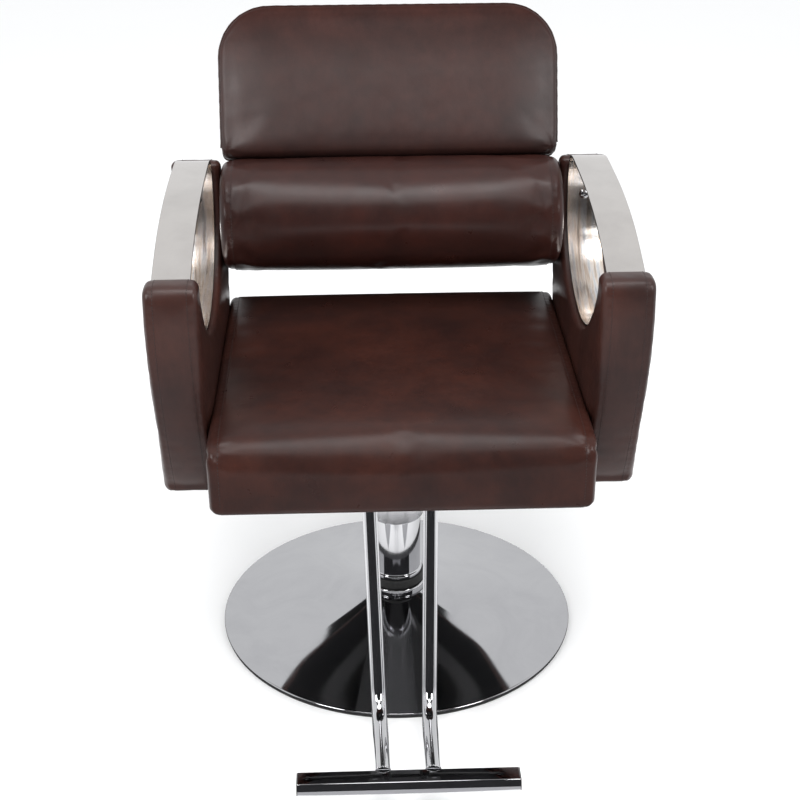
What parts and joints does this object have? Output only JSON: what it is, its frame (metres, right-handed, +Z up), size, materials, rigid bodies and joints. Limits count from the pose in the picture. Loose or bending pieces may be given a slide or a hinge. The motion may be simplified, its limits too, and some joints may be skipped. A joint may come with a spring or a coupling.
{
  "type": "hydraulic salon chair",
  "caption": "Padded swivel salon chair with banded armrests on a foot-pumped column, a round base and a T-bar footrest.",
  "frame": {"origin": "centre of the base plate's underside, on the column's axis, at floor level", "axes": "+Z up, -Y the way the sitter faces, +X towards the sitter's left, which is on the right seen from the front"},
  "size_m": [0.685, 0.8957, 0.9573],
  "materials": {
    "upholstery": "satin dark brown upholstery leather",
    "chrome": "polished chrome",
    "armrest_steel": "polished stainless strip, lightly worn on top",
    "frame_steel": "satin black",
    "black_rubber": "matt black",
    "bearing_brass": "plain machined",
    "plywood": "raw birch plywood",
    "dust_cloth": "black non-woven cloth"
  },
  "bodies": {
    "base": {"base_plate": "frame_steel", "base_cover": "chrome", "base_trim_ring": "black_rubber", "pump_cylinder": "chrome", "flange_bolt_1": "frame_steel", "flange_bolt_2": "frame_steel", "flange_bolt_3": "frame_steel", "neck_collar": "chrome", "neck_gasket": "black_rubber", "guide_bush": "bearing_brass", "rod_seal": "black_rubber", "pedal_bracket": "frame_steel", "pedal_pin": "frame_steel", "pedal_spring": "frame_steel"},
    "lift": {"piston_rod": "chrome", "piston_seal": "black_rubber", "swivel_bearing": "bearing_brass"},
    "seat": {"arm_band_left": "armrest_steel", "arm_band_right": "armrest_steel", "arm_bolt_left_front": "frame_steel", "arm_bolt_left_rear": "frame_steel", "arm_bolt_right_front": "frame_steel", "arm_bolt_right_rear": "frame_steel", "arm_panel_left": "upholstery", "arm_panel_right": "upholstery", "back_bracket_left": "frame_steel", "back_bracket_right": "frame_steel", "back_screw_left_1": "frame_steel", "back_screw_left_2": "frame_steel", "back_screw_right_1": "frame_steel", "back_screw_right_2": "frame_steel", "band_screw_left_1": "chrome", "band_screw_left_2": "chrome", "band_screw_right_1": "chrome", "band_screw_right_2": "chrome", "column_sleeve": "chrome", "foot_bar": "chrome", "foot_bar_cap_left": "black_rubber", "foot_bar_cap_right": "black_rubber", "footrest_bolt_1": "frame_steel", "footrest_bolt_2": "frame_steel", "footrest_plate": "frame_steel", "footrest_tube_left": "chrome", "footrest_tube_right": "chrome", "lumbar_cushion": "upholstery", "mount_bolt_1": "frame_steel", "mount_bolt_2": "frame_steel", "mount_bolt_3": "frame_steel", "mount_bolt_4": "frame_steel", "rail_front": "frame_steel", "rail_rear": "frame_steel", "rear_panel": "upholstery", "seat_board": "plywood", "seat_cushion": "upholstery", "seat_dust_cover": "dust_cloth", "seat_mount": "frame_steel", "upper_back_cushion": "upholstery"},
    "pedal": {"pedal_arm": "chrome", "pedal_pad": "black_rubber"},
    "plunger": {"pump_plunger": "frame_steel"}
  },
  "joints": [
    {"name": "lift_slide", "type": "slide", "parent": "base", "child": "lift", "axis": [0, 0, 1], "range_m": [0, 0.15]},
    {"name": "seat_swivel", "type": "hinge", "parent": "lift", "child": "seat", "pos_m": [0, 0, 0.336], "axis": [0, 0, 1], "continuous": true},
    {"name": "pedal_pivot", "type": "hinge", "parent": "base", "child": "pedal", "pos_m": [0, 0.057, 0.15], "axis": [-1, 0, 0], "range_deg": [0, 18], "stiffness_Nm_per_rad": 12, "springref_deg": -6.88},
    {"name": "plunger_slide", "type": "slide", "parent": "base", "child": "plunger", "axis": [0, 0, -1], "range_m": [0, 0.0092], "deforming": ["pedal_spring"]}
  ],
  "couplings": [
    {"joint": "plunger_slide", "follows": "pedal_pivot", "m_per_rad": 0.028}
  ]
}
